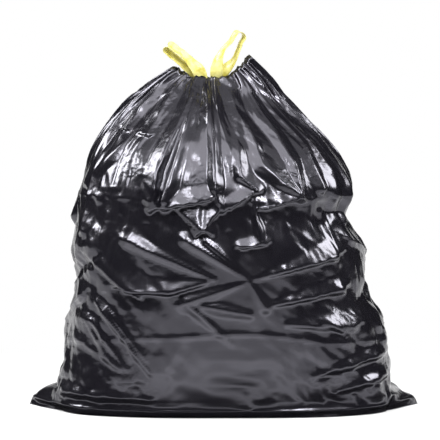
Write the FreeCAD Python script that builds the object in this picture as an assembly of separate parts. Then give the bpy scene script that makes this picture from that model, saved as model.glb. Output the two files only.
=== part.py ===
"""A full drawstring bin bag that stands on the floor, with its mouth pulled shut. Millimetres.

The bag is a flat tube of film, 762 mm wide and 838 mm long, sealed along its bottom, filled with
soft household waste and gathered at the top by two tapes. A full bag can't be seen into, so film
and filling are one closed solid. Its surface is a grid: columns run round the bag, and rings climb
from the floor to the hem and turn down into the mouth. Each tape shows as one loop of its own.

The frame: +X is to the right of the bag's front, +Y to its back and +Z up. The origin is on the
floor, below the middle of the bag's outer box.
"""

import FreeCAD
import Part
import Mesh
import math
import os
from collections import namedtuple

# The outline of the full bag: how far the film reaches from the middle line at each height.
# roundness is 2 for an ellipse, more for a squarer section and less for a pointed one. pleat is
# how far the gathered film zigzags in and out, and drift is how far the section's middle has
# moved to the left.
Level = namedtuple("Level", "height left right front back roundness pleat drift")
FOOTPRINT = Level(0.0, 266.0, 274.0, 189.0, 187.0, 3.4, 0.0, 0.0)
FOOT = Level(28.0, 273.0, 283.0, 197.0, 196.0, 3.0, 0.5, 0.0)
SKIRT = Level(95.0, 255.0, 272.0, 201.0, 200.0, 2.8, 0.5, 0.0)
LOWER_BULGE = Level(150.0, 250.0, 260.0, 202.0, 202.0, 2.6, 0.5, 0.0)
WAIST = Level(188.0, 243.0, 240.0, 203.0, 202.0, 2.45, 0.5, 0.0)
BELLY = Level(262.0, 247.0, 231.0, 200.0, 199.0, 2.3, 0.5, 0.0)
UPPER_FOLD = Level(318.0, 239.0, 207.0, 188.0, 188.0, 2.2, 0.5, 2.0)
SHOULDER = Level(372.0, 229.0, 213.0, 178.0, 176.0, 2.1, 1.0, 5.0)
SHOULDER_TOP = Level(428.0, 214.0, 184.0, 146.0, 146.0, 1.8, 2.5, 9.0)
CROWN = Level(478.0, 180.0, 136.0, 104.0, 104.0, 1.4, 5.0, 13.0)
COLLAR = Level(512.0, 150.0, 104.0, 62.0, 62.0, 1.3, 6.0, 16.0)
THROAT = Level(530.0, 122.0, 84.0, 36.0, 36.0, 1.5, 5.0, 18.0)
HEM = Level(541.0, 78.0, 42.0, 20.0, 20.0, 1.8, 3.5, 18.0)
LEVELS = (
    FOOTPRINT, FOOT, SKIRT, LOWER_BULGE, WAIST, BELLY, UPPER_FOLD,
    SHOULDER, SHOULDER_TOP, CROWN, COLLAR, THROAT, HEM,
)

# The hem's two side corners stand up beside the mouth, above the hem's middle.
LEFT_CORNER_RISE = 17.0
RIGHT_CORNER_RISE = 33.0
CORNER_SHARPNESS = 3.0

# The bottom corners of the flat bag hold no filling, and lie out on the floor as two ears.
LEFT_EAR_REACH = 56.0
LEFT_EAR_HEIGHT = 38.0
RIGHT_EAR_REACH = 50.0
RIGHT_EAR_HEIGHT = 36.0
EAR_HALF_WIDTH = 92.0
EAR_FULLNESS = 0.7

# The gathers: ridges and valleys that run up to the mouth, unevenly spaced.
PLEATS_PER_SIDE = 11
PLEAT_UNEVENNESS = 0.6

# The mouth is a slit between the front and the back hem, closed by the gathered film below.
HEM_THICKNESS = 5.0
MOUTH_DEPTH = 22.0
MOUTH_FLOOR_LENGTH = 92.0
MOUTH_FLOOR_WIDTH = 18.0
MOUTH_RINGS = 3

# The grid: how many columns run up the bag, and how far apart its rings are.
COLUMNS = 112
RING_SPACING = 13.5
FLOOR_RINGS = 4
# Points are rounded to this, so that a mesh in single precision holds them exactly.
GRID = 1.0 / 1024.0

# Big folds in the film, each a straight ridge from one point to another on one side of the bag. A
# point is (across, height): across is along X on the front and along Y on the left and right. A
# fold falls evenly to nothing over its widths above and below the line. Widths and depth run
# evenly from its start to its end, and a fold with a depth under 0 is a valley.
Fold = namedtuple("Fold", "side start end above below end_above end_below depth end_depth")
FOLDS = (
    # The long ledge on the left that catches the light, and the folds that run to one tight point.
    Fold("front", (-223, 262), (-150, 209), 34, 6, 30, 7, 5, 14),
    Fold("front", (-150, 209), (-82, 206), 30, 8, 18, 6, 14, 11),
    Fold("front", (-82, 206), (-24, 221), 18, 6, 8, 4, 11, 3),
    Fold("front", (-150, 288), (-11, 225), 12, 18, 4, 5, 9, 2),
    Fold("front", (-57, 290), (41, 225), 14, 16, 3, 4, 8, 1),
    Fold("front", (-27, 287), (43, 227), 8, 6, 2, 2, 5, 1),
    Fold("front", (181, 261), (46, 224), 26, 10, 3, 3, 13, 1),
    Fold("front", (189, 208), (69, 182), 20, 10, 6, 4, 13, 2),
    Fold("front", (208, 149), (101, 153), 22, 14, 6, 5, 9, 2),
    Fold("front", (-57, 192), (43, 222), 10, 22, 3, 4, 7, 1),
    Fold("front", (69, 182), (44, 222), 14, 14, 3, 3, 6, 1),
    Fold("front", (-29, 186), (44, 170), 8, 18, 8, 10, 5, 3),
    Fold("front", (-57, 190), (16, 122), 12, 14, 5, 6, 6, 1),
    # The crumpled corner on the lower left, and the folds that run to the bottom corners.
    Fold("front", (-199, 184), (-114, 74), 10, 6, 4, 4, 7, 2),
    Fold("front", (-182, 176), (-121, 96), 5, 5, 4, 4, 5, 2),
    Fold("front", (-209, 155), (-153, 82), 7, 6, 5, 5, 5, 2),
    Fold("front", (-244, 130), (-162, 82), 14, 12, 8, 8, 5, 2),
    Fold("front", (264, 102), (146, 70), 20, 10, 5, 4, 12, 2),
    Fold("front", (262, 64), (172, 40), 12, 8, 6, 5, 7, 2),
    Fold("front", (71, 39), (-6, 10), 22, 12, 10, 6, 5, 1),
    Fold("front", (-252, 39), (-114, 32), 14, 10, 8, 6, 6, 2),
    # The swags under the gathers: ledges where slack film hangs over the tight film below.
    Fold("front", (-86, 340), (-19, 353), 24, 4, 20, 4, 14, 9),
    Fold("front", (-70, 335), (-30, 305), 20, 4, 24, 4, 4, 13),
    Fold("front", (-30, 305), (-3, 337), 24, 4, 14, 4, 13, 8),
    Fold("front", (-11, 371), (0, 337), 7, 7, 8, 8, 13, 9),
    Fold("front", (13, 340), (57, 368), 18, 4, 12, 4, 8, 12),
    Fold("front", (70, 338), (126, 356), 26, 4, 14, 4, 9, 14),
    Fold("front", (47, 352), (63, 290), 6, 6, 9, 9, 5, 9),
    Fold("front", (31, 277), (70, 283), 14, 4, 12, 4, 8, 8),
    Fold("front", (-160, 463), (-116, 452), 16, 4, 14, 4, 9, 8),
    Fold("front", (-222, 376), (-200, 349), 12, 10, 10, 10, 13, 4),
    # The main pleats, each from the mouth down to its swag.
    Fold("front", (-47, 520), (-99, 401), 10, 8, 46, 9, 8, 20),
    Fold("front", (-99, 401), (-110, 339), 46, 9, 14, 8, 20, 12),
    Fold("front", (-41, 517), (-92, 352), 7, 8, 8, 22, 8, 17),
    Fold("front", (-18, 504), (-11, 371), 12, 8, 16, 12, 6, 13),
    Fold("front", (23, 488), (29, 390), 8, 8, 14, 12, 5, 10),
    Fold("front", (29, 390), (57, 368), 12, 8, 12, 8, 10, 12),
    Fold("front", (39, 475), (64, 409), 8, 10, 10, 12, 7, 10),
    Fold("front", (64, 409), (126, 358), 16, 20, 10, 16, 10, 15),
    Fold("front", (23, 510), (81, 459), 10, 8, 14, 12, 6, 12),
    Fold("front", (81, 459), (112, 411), 14, 12, 14, 10, 12, 15),
    Fold("front", (112, 411), (126, 361), 14, 10, 10, 12, 15, 15),
    Fold("front", (65, 507), (130, 439), 10, 10, 14, 14, 7, 14),
    Fold("front", (130, 439), (161, 369), 10, 16, 8, 14, 14, 14),
    Fold("front", (95, 503), (175, 397), 8, 8, 10, 10, 5, 9),
    Fold("front", (128, 490), (197, 374), 8, 8, 10, 10, 4, 8),
    Fold("front", (-88, 510), (-222, 376), 8, 10, 12, 14, 6, 13),
    Fold("front", (-79, 529), (-181, 474), 8, 8, 10, 10, 6, 8),
    Fold("front", (176, 406), (188, 318), 14, 14, 12, 12, 7, 9),
    Fold("front", (-232, 356), (-210, 282), 12, 12, 12, 12, 8, 4),
    Fold("front", (10, 536), (79, 516), 6, 8, 6, 8, 5, 6),
    # The sides, where the welded edge puckers.
    Fold("left", (-120, 250), (90, 178), 26, 14, 20, 14, -10, -4),
    Fold("left", (110, 300), (-70, 236), 26, 14, 12, 14, 10, 3),
    Fold("left", (-100, 196), (60, 130), 24, 14, 12, 14, 9, 3),
    Fold("left", (120, 170), (-60, 92), 26, 14, 12, 14, 10, 3),
    Fold("left", (-60, 420), (-90, 300), 20, 14, 22, 14, 5, 12),
    Fold("left", (40, 430), (20, 320), 20, 14, 22, 14, 5, 12),
    Fold("right", (110, 262), (-110, 184), 26, 14, 12, 14, -9, -3),
    Fold("right", (-110, 330), (90, 306), 26, 14, 12, 14, -9, -4),
    Fold("right", (-90, 286), (80, 246), 26, 14, 12, 14, 10, 3),
    Fold("right", (110, 170), (-90, 112), 26, 14, 12, 14, 10, 3),
    Fold("right", (-50, 420), (-70, 320), 20, 14, 22, 14, 5, 12),
    Fold("right", (50, 430), (60, 330), 20, 14, 22, 14, 5, 12),
)
# The way each side faces. The back has the front's folds too, turned round with it.
FACING = {"front": (0.0, -1.0), "back": (0.0, 1.0), "left": (-1.0, 0.0), "right": (1.0, 0.0)}
BACK_FOLDS = tuple(fold._replace(side="back") for fold in FOLDS if fold.side == "front")
# Folds die out over this height above the floor, where the weight presses the film flat.
FOLD_START_HEIGHT = 30.0

# The two tapes are strips of thicker film. Each shows as one loop that stands out of the mouth.
TAPE_WIDTH = 25.0
TAPE_ROOT_WIDTH = 15.0
TAPE_THICKNESS = 1.0
TAPE_ROOT_GAP = 2.4
# gap is how far apart a loop's legs are at its tip, and belly how much further in the middle.
Loop = namedtuple("Loop", "root_x lean length gap belly twist")
LEFT_LOOP = Loop(-33.0, math.radians(140.0), 97.0, 10.0, 3.0, math.radians(62.0))
RIGHT_LOOP = Loop(-9.0, math.radians(60.0), 105.0, 14.0, 13.0, math.radians(-72.0))
# The stretch of a loop's foot that stands upright in the mouth before it leans.
TAPE_UPRIGHT = 40.0
LOOP_STEPS = 12
TIP_STEPS = 6

GOLDEN_ANGLE = math.pi * (3.0 - math.sqrt(5.0))


def smooth_step(share):
    """0 below 0, 1 above 1, and a soft S between."""
    share = min(1.0, max(0.0, share))
    return share * share * (3.0 - 2.0 * share)


def level_at(climb):
    """The outline at a point of the climb, 0 at the footprint and one more at each next level.

    A Catmull-Rom curve runs through the levels, so each level's own sizes are met exactly.
    """
    last = len(LEVELS) - 1
    index = min(int(climb), last - 1)
    share = climb - index
    before, here, after, beyond = (
        LEVELS[min(max(index + step, 0), last)] for step in (-1, 0, 1, 2)
    )
    values = []
    for a, b, c, d in zip(before, here, after, beyond):
        bend = 2.0 * a - 5.0 * b + 4.0 * c - d
        turn = 3.0 * (b - c) + d - a
        values.append(b + 0.5 * share * (c - a + share * (bend + share * turn)))
    return Level(*values)


def climbs():
    """The place of each ring: about one RING_SPACING apart up the front, closer at the floor."""
    places = []
    for index, (low, high) in enumerate(zip(LEVELS, LEVELS[1:])):
        slope = math.hypot(high.height - low.height, high.front - low.front)
        steps = FLOOR_RINGS if index == 0 else max(2, round(slope / RING_SPACING))
        places.extend(index + step / steps for step in range(steps))
    return places + [len(LEVELS) - 1]


def pleat_nodes():
    """(angle, height) of each ridge and valley round the bag. The two side edges are ridges."""
    nodes = []
    per_half = 2 * PLEATS_PER_SIDE
    for half in (0, 1):
        for index in range(per_half):
            slip = PLEAT_UNEVENNESS * math.sin(GOLDEN_ANGLE * index * (1.0 + 0.31 * half))
            angle = math.pi * (half + (index + slip) / per_half)
            size = 0.6 + 0.4 * math.cos(GOLDEN_ANGLE * (index + 5 * half))
            nodes.append((angle, size if index % 2 == 0 else -size))
    return nodes


def pleat_wave(angle, nodes):
    """The zigzag's height at an angle: straight from each ridge to the next valley."""
    ring = nodes + [(nodes[0][0] + 2.0 * math.pi, nodes[0][1])]
    for (low, from_height), (high, to_height) in zip(ring, ring[1:]):
        if low <= angle <= high:
            return from_height + (to_height - from_height) * (angle - low) / (high - low)
    return 0.0


def ear_reach(point, right):
    """How much further an ear reaches at a point of the outline: longest at its tip on the floor.

    The reach falls with height, to nothing at the ear's height, and evenly to its two long edges.
    """
    reach, top = (
        (RIGHT_EAR_REACH, RIGHT_EAR_HEIGHT) if right else (LEFT_EAR_REACH, LEFT_EAR_HEIGHT)
    )
    low = max(0.0, 1.0 - point[2] / top)
    return reach * low ** EAR_FULLNESS * max(0.0, 1.0 - abs(point[1]) / EAR_HALF_WIDTH)


def fold_depth(point, outward):
    """How far the big folds lift the film at a point: a straight-sided ridge along each line.

    Where folds meet, the highest ridge and the deepest valley win, so that they join in sharp
    lines.
    """
    ridge, valley = 0.0, 0.0
    for fold in FOLDS + BACK_FOLDS:
        facing = FACING[fold.side]
        turned = outward[0] * facing[0] + outward[1] * facing[1]
        if turned <= 0.0:
            continue
        across = {"front": point[0], "back": -point[0]}.get(fold.side, point[1])
        run = (fold.end[0] - fold.start[0], fold.end[1] - fold.start[1])
        away = (across - fold.start[0], point[2] - fold.start[1])
        share = (away[0] * run[0] + away[1] * run[1]) / (run[0] ** 2 + run[1] ** 2)
        share = min(1.0, max(0.0, share))
        off = (away[0] - share * run[0], away[1] - share * run[1])
        if (off[1] * run[0] - off[0] * run[1]) * run[0] > 0.0:
            width = fold.above + (fold.end_above - fold.above) * share
        else:
            width = fold.below + (fold.end_below - fold.below) * share
        height = fold.depth + (fold.end_depth - fold.depth) * share
        lift = height * max(0.0, 1.0 - math.hypot(*off) / width) * turned
        ridge, valley = max(ridge, lift), min(valley, lift)
    return (ridge + valley) * smooth_step(point[2] / FOLD_START_HEIGHT)


def outline_point(angle, level, inset=0.0):
    """(point, outward direction) on a level's plain outline, or inset mm inside it."""
    across, along = math.cos(angle), math.sin(angle)
    side = level.right + level.drift if across > 0.0 else level.left - level.drift
    depth = level.back if along > 0.0 else level.front
    side -= inset
    depth -= inset
    power = 2.0 / level.roundness
    x = -level.drift + side * math.copysign(abs(across) ** power, across)
    y = depth * math.copysign(abs(along) ** power, along)
    length = math.hypot(across / side, along / depth)
    return (x, y, level.height), (across / side / length, along / depth / length)


def corner_rise(angle, climb):
    """How far the hem's side corners lift the film here, over the last two levels of the climb."""
    across = math.cos(angle)
    rise = RIGHT_CORNER_RISE if across > 0.0 else LEFT_CORNER_RISE
    share = smooth_step((climb - (len(LEVELS) - 3)) / 2.0)
    return rise * share * share * abs(across) ** CORNER_SHARPNESS


def film_point(angle, climb, nodes):
    """A point of the bag's outer surface."""
    level = level_at(climb)
    point, outward = outline_point(angle, level)
    lift = level.pleat * pleat_wave(angle, nodes) + fold_depth(point, outward)
    ear = ear_reach(point, outward[0] > 0.0)
    return (
        point[0] + lift * outward[0] + math.copysign(ear, outward[0]),
        point[1] + lift * outward[1],
        point[2] + corner_rise(angle, climb),
    )


def mouth_point(angle, share, nodes):
    """A point of the mouth's inner wall, from the hem's inner edge at 0 to the floor at 1."""
    rim, outward = outline_point(angle, HEM, HEM_THICKNESS)
    lift = HEM.pleat * pleat_wave(angle, nodes) * (1.0 - share)
    rim_height = rim[2] + corner_rise(angle, len(LEVELS) - 1)
    floor_x = -HEM.drift + 0.5 * MOUTH_FLOOR_LENGTH * math.cos(angle)
    floor_y = 0.5 * MOUTH_FLOOR_WIDTH * math.sin(angle)
    return (
        (rim[0] + lift * outward[0]) * (1.0 - share) + floor_x * share,
        (rim[1] + lift * outward[1]) * (1.0 - share) + floor_y * share,
        rim_height * (1.0 - share) + (HEM.height - MOUTH_DEPTH) * share,
    )


def bag_rings():
    """Every ring of the bag's surface, from the footprint up to the hem and down into the mouth."""
    nodes = pleat_nodes()
    angles = [2.0 * math.pi * index / COLUMNS for index in range(COLUMNS)]
    rings = [[film_point(angle, climb, nodes) for angle in angles] for climb in climbs()]
    for step in range(MOUTH_RINGS + 1):
        rings.append([mouth_point(angle, step / MOUTH_RINGS, nodes) for angle in angles])
    return [[tuple(round(value / GRID) * GRID for value in point) for point in ring] for ring in rings]


def closed_solid(rings):
    """A solid of flat triangles between the rings, with a flat face inside the first and last."""
    facets = []
    for low, high in zip(rings, rings[1:]):
        for index in range(len(low)):
            a, b = low[index - 1], low[index]
            c, d = high[index], high[index - 1]
            if math.dist(a, c) < math.dist(b, d):
                facets.extend(((a, b, c), (a, c, d)))
            else:
                facets.extend(((a, b, d), (b, c, d)))
    skin = Part.Shape()
    skin.makeShapeFromMesh(Mesh.Mesh([p for facet in facets for p in facet]).Topology, 0.01)
    caps = []
    for ring in (rings[0][::-1], rings[-1]):
        corners = [FreeCAD.Vector(*point) for point in ring + ring[:1]]
        caps.append(Part.Face(Part.makePolygon(corners)))
    joined = Part.makeCompound([skin, *caps])
    joined.sewShape()
    solid = Part.Solid(joined.Shells[0])
    if solid.Volume < 0.0:
        solid.reverse()
    return solid


def middle_line(loop):
    """(point, along, apart) at each step up the line that runs midway between a loop's two legs.

    The line starts upright and then leans. The legs stand apart across it, and twist about it.
    """
    step = (loop.length - 0.5 * loop.gap) / LOOP_STEPS
    upright = 0.5 * math.pi
    point = FreeCAD.Vector(loop.root_x, 0.0, HEM.height - MOUTH_DEPTH)
    steps = []
    for index in range(LOOP_STEPS + 1):
        lean = upright + (loop.lean - upright) * smooth_step(index * step / TAPE_UPRIGHT)
        twist = loop.twist * smooth_step(1.4 * index / LOOP_STEPS)
        along = FreeCAD.Vector(math.cos(lean), 0.0, math.sin(lean))
        flat = FreeCAD.Vector(-math.sin(lean), 0.0, math.cos(lean))
        apart = FreeCAD.Vector(0.0, math.cos(twist), 0.0) + flat * math.sin(twist)
        steps.append((point, along, apart))
        point = point + along * step
    return steps


def section(centre, thick_way, along, share):
    """The tape's cross-section at a point of a leg. It is narrower towards the leg's foot."""
    width = TAPE_ROOT_WIDTH + (TAPE_WIDTH - TAPE_ROOT_WIDTH) * smooth_step(2.5 * share)
    half_width = along.cross(thick_way).normalize() * (0.5 * width)
    half_thick = FreeCAD.Vector(thick_way) * (0.5 * TAPE_THICKNESS)
    corners = [
        centre - half_width - half_thick,
        centre + half_width - half_thick,
        centre + half_width + half_thick,
        centre - half_width + half_thick,
    ]
    return Part.makePolygon(corners + corners[:1])


def loop_sections(loop):
    """The tape's cross-sections along one loop: up one leg, round the tip and down the other."""
    up, down = [], []
    steps = middle_line(loop)
    for index, (point, along, apart) in enumerate(steps):
        share = index / LOOP_STEPS
        gap = TAPE_ROOT_GAP + (loop.gap - TAPE_ROOT_GAP) * smooth_step(1.2 * share)
        off = apart * (0.5 * (gap + loop.belly * math.sin(math.pi * share) ** 2))
        up.append(section(point + off, apart, along, share))
        down.append(section(point - off, apart * -1.0, along * -1.0, share))
    point, along, apart = steps[-1]
    tip = []
    for index in range(1, TIP_STEPS):
        turn = math.pi * index / TIP_STEPS
        thick_way = apart * math.cos(turn) + along * math.sin(turn)
        ahead = along * math.cos(turn) - apart * math.sin(turn)
        tip.append(section(point + thick_way * (0.5 * loop.gap), thick_way, ahead, 1.0))
    return up + tip + down[::-1]


def tape(loop):
    """One tape's loop as a solid strip."""
    return Part.makeLoft(loop_sections(loop), True, True)


def main():
    bag = closed_solid(bag_rings())
    shapes = {
        "bag": bag,
        "left_tape_loop": tape(LEFT_LOOP),
        "right_tape_loop": tape(RIGHT_LOOP),
    }
    box = bag.BoundBox
    to_frame = FreeCAD.Vector(-box.Center.x, -box.Center.y, 0.0)
    os.makedirs("parts", exist_ok=True)
    for node, shape in shapes.items():
        shape.translate(to_frame)
        shape.exportStep(os.path.join("parts", node + ".step"))
        print(node, shape.isValid(), len(shape.Faces), round(shape.Volume), shape.BoundBox)


main()
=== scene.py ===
# %% [markdown]
# # A full bin bag with its mouth pulled shut
# The object is a black drawstring bin bag, full of household waste, which stands on the floor. It
# is 0.64 m wide over its two flat bottom corners and 0.57 m tall to its hem, and two yellow tapes
# stand out of its mouth. Film this thin has no shape of its own: what the eye reads is how it lies
# over the filling, how it gathers into the mouth, and where it creases and catches the light.

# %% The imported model
import math

import bpy
import numpy as np
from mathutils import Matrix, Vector


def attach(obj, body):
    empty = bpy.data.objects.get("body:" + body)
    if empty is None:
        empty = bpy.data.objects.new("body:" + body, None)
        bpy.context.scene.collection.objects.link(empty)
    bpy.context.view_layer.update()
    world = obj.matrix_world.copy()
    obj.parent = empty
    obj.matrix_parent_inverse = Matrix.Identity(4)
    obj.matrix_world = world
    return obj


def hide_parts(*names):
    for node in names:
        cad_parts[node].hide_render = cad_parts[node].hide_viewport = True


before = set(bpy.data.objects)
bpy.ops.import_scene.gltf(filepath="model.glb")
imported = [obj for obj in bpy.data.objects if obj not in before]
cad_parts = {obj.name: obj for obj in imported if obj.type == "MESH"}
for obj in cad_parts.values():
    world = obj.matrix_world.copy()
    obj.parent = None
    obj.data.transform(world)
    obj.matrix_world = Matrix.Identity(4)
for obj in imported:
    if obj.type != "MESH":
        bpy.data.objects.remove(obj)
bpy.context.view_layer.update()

# %% [markdown]
# ## The camera
# The photograph was taken from just above the middle of the bag, with a long lens, which keeps the
# bag's sides nearly parallel. A camera is easiest to set by what it aims at, how far away it is and
# how high it stands. The lens then follows from how much of the scene fills the picture.

# %% The camera
MM = 0.001
AIM = np.array([-3.3, 0.0, 305.0]) * MM
DISTANCE = 4500.0 * MM
ELEVATION = math.radians(3.0)
VIEW_WIDTH = 727.0 * MM
SENSOR = 36.0


def add_object(name, data):
    """A new object in the scene, with these data."""
    thing = bpy.data.objects.new(name, data)
    bpy.context.scene.collection.objects.link(thing)
    return thing


camera_data = bpy.data.cameras.new("camera")
camera_data.sensor_width = SENSOR
camera_data.lens = SENSOR * DISTANCE / VIEW_WIDTH
camera = add_object("camera", camera_data)
camera.location = AIM + DISTANCE * np.array([0.0, -math.cos(ELEVATION), math.sin(ELEVATION)])
camera.rotation_euler = (math.pi / 2.0 - ELEVATION, 0.0, 0.0)
bpy.context.scene.camera = camera
print("camera lens, mm:", round(camera_data.lens, 1))

# %% [markdown]
# ## The outline of the full bag
# A filled bag is pinned down by a few horizontal sections: how far it reaches to each side at each
# height. A smooth curve through those sizes gives every height between. The sections are squarish
# low down, where the weight spreads the waste, and pointed at the top, where the empty corners of
# the flat bag stand out beside the gathered mouth.

# %% The levels of the outline
# Each row: height, left, right, front, back, roundness, pleat height, drift to the left. Millimetres.
LEVELS = np.array([
    (0, 266, 274, 189, 187, 3.4, 0, 0),
    (28, 273, 283, 197, 196, 3, 0.5, 0),
    (95, 255, 272, 201, 200, 2.8, 0.5, 0),
    (150, 250, 260, 202, 202, 2.6, 0.5, 0),
    (188, 243, 240, 203, 202, 2.45, 0.5, 0),
    (262, 247, 231, 200, 199, 2.3, 0.5, 0),
    (318, 239, 207, 188, 188, 2.2, 0.5, 2),
    (372, 229, 213, 178, 176, 2.1, 1, 5),
    (428, 214, 184, 146, 146, 1.8, 2.5, 9),
    (478, 180, 136, 104, 104, 1.4, 5, 13),
    (512, 150, 104, 62, 62, 1.3, 6, 16),
    (530, 122, 84, 36, 36, 1.5, 5, 18),
    (541, 78, 42, 20, 20, 1.8, 3.5, 18),
])
HEIGHT, LEFT, RIGHT, FRONT, BACK, ROUNDNESS, PLEAT, DRIFT = range(8)


def through(rows, places):
    """A smooth curve through rows of numbers: row k at place k, and a Catmull-Rom curve between.

    Between two rows it is the cubic that passes through both, with a slope at each that is half
    the difference of its two neighbours.
    """
    last = len(rows) - 1
    index = np.clip(places.astype(int), 0, last - 1)
    t = (places - index)[:, None]
    a, b, c, d = (rows[np.clip(index + step, 0, last)] for step in (-1, 0, 1, 2))
    bend = 2.0 * a - 5.0 * b + 4.0 * c - d
    turn = 3.0 * (b - c) + d - a
    return b + 0.5 * t * (c - a + t * (bend + t * turn))


def levels_at(climbs):
    """The outline's sizes at each climb, 0 at the floor and one more at each next level."""
    return through(LEVELS, climbs)


print("levels:", len(LEVELS))

# %% [markdown]
# ## From sizes to points
# Many things on the bag start at one height and are full at another, so one soft step serves them
# all. The sizes of a level become points by a super-ellipse. Its roundness is a power: 2 gives an
# ellipse, more gives a squarish outline, and less gives a pointed one.

# %% From sizes to points
# Over how many levels the things near the hem set in.
HEM_LEVELS = 2.0


def smooth_step(share):
    """0 below 0, 1 above 1 and a soft S between: 3 t^2 - 2 t^3."""
    t = np.clip(share, 0.0, 1.0)
    return t * t * (3.0 - 2.0 * t)


def ramp(values, low, high):
    """0 below low, 1 above high and the same soft S between."""
    return smooth_step((values - low) / (high - low))


def near_hem(climbs, below):
    """0 until so many levels below the hem, 1 from two levels further up, and a soft S between."""
    return smooth_step((climbs - (len(LEVELS) - 1.0 - below)) / HEM_LEVELS)


def outline(levels, angles):
    """Points and outward directions of each level's super-ellipse, a grid of levels by angles.

    x is the side's reach times cos(angle) to the power 2 / roundness, and y the same with sin.
    """
    cos, sin = np.cos(angles)[None, :], np.sin(angles)[None, :]
    row = levels[:, :, None]
    side = np.where(cos > 0.0, row[:, RIGHT] + row[:, DRIFT], row[:, LEFT] - row[:, DRIFT])
    depth = np.where(sin > 0.0, row[:, BACK], row[:, FRONT])
    power = 2.0 / row[:, ROUNDNESS]
    x = -row[:, DRIFT] + side * np.sign(cos) * np.abs(cos) ** power
    y = depth * np.sign(sin) * np.abs(sin) ** power
    out = np.stack([cos / side, sin / depth])
    return np.stack([x, y, row[:, HEIGHT] + 0.0 * x]), out / np.linalg.norm(out, axis=0)


print("a quarter of the way up a soft step:", float(smooth_step(0.25)))

# %% [markdown]
# ## The pleats
# Pulling the tape packs 1.5 m of film into a mouth about 12 cm long, so the film zigzags in pleats
# that fade out over the shoulder. They could be drawn one by one. A zigzag with uneven spacing and
# height, taken round the outline, looks just as random and needs only a few numbers.

# %% Pleats
PLEATS_PER_SIDE = 11
PLEAT_UNEVENNESS = 0.6
PLEAT_SIZE, PLEAT_SIZE_SWING = 0.6, 0.4
# What makes the front's pleats differ from the back's.
FRONT_SLIP, FRONT_SHIFT = 0.31, 5
GOLDEN_ANGLE = math.pi * (3.0 - math.sqrt(5.0))


def pleat_wave(angles):
    """The zigzag round the bag: straight from each ridge, above 0, to the next valley, below 0.

    The ridges are evenly spaced but for a slip, and both the slip and the size follow the sine and
    cosine of the golden angle times the ridge's number, so that no two neighbours are alike.
    """
    per_half = 2 * PLEATS_PER_SIDE
    index = np.arange(per_half)
    nodes, sizes = [], []
    for half in (0, 1):
        slip = PLEAT_UNEVENNESS * np.sin(GOLDEN_ANGLE * index * (1.0 + FRONT_SLIP * half))
        nodes.append(math.pi * (half + (index + slip) / per_half))
        size = PLEAT_SIZE + PLEAT_SIZE_SWING * np.cos(GOLDEN_ANGLE * (index + FRONT_SHIFT * half))
        sizes.append(np.where(index % 2 == 0, size, -size))
    return np.interp(angles, np.concatenate(nodes), np.concatenate(sizes), period=2.0 * math.pi)


print("ridges and valleys round the bag:", 4 * PLEATS_PER_SIDE)

# %% [markdown]
# ## The bottom corners
# The bag is a flat tube with a weld across its end. The weld's two corners hold no waste, so they
# stay flat and lie on the floor like ears. Each is a flap added to the outline, in the same surface
# as the rest, because it is the same film.

# %% The bottom corners
# Reaches, heights and widths are in millimetres.
LEFT_EAR_REACH, LEFT_EAR_HEIGHT = 56.0, 38.0
RIGHT_EAR_REACH, RIGHT_EAR_HEIGHT = 50.0, 36.0
EAR_HALF_WIDTH, EAR_FULLNESS = 92.0, 0.7


def ear_reach(points, right):
    """How much further the film reaches at a bottom corner: a flat flap, longest at its tip.

    The reach falls with height, to nothing at the ear's height, and evenly to its two long edges.
    """
    reach = np.where(right, RIGHT_EAR_REACH, LEFT_EAR_REACH)
    top = np.where(right, RIGHT_EAR_HEIGHT, LEFT_EAR_HEIGHT)
    low = np.clip(1.0 - points[2] / top, 0.0, 1.0)
    return reach * low ** EAR_FULLNESS * np.clip(1.0 - np.abs(points[1]) / EAR_HALF_WIDTH, 0.0, 1.0)


print("ears reach out, mm:", LEFT_EAR_REACH, RIGHT_EAR_REACH)
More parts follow.
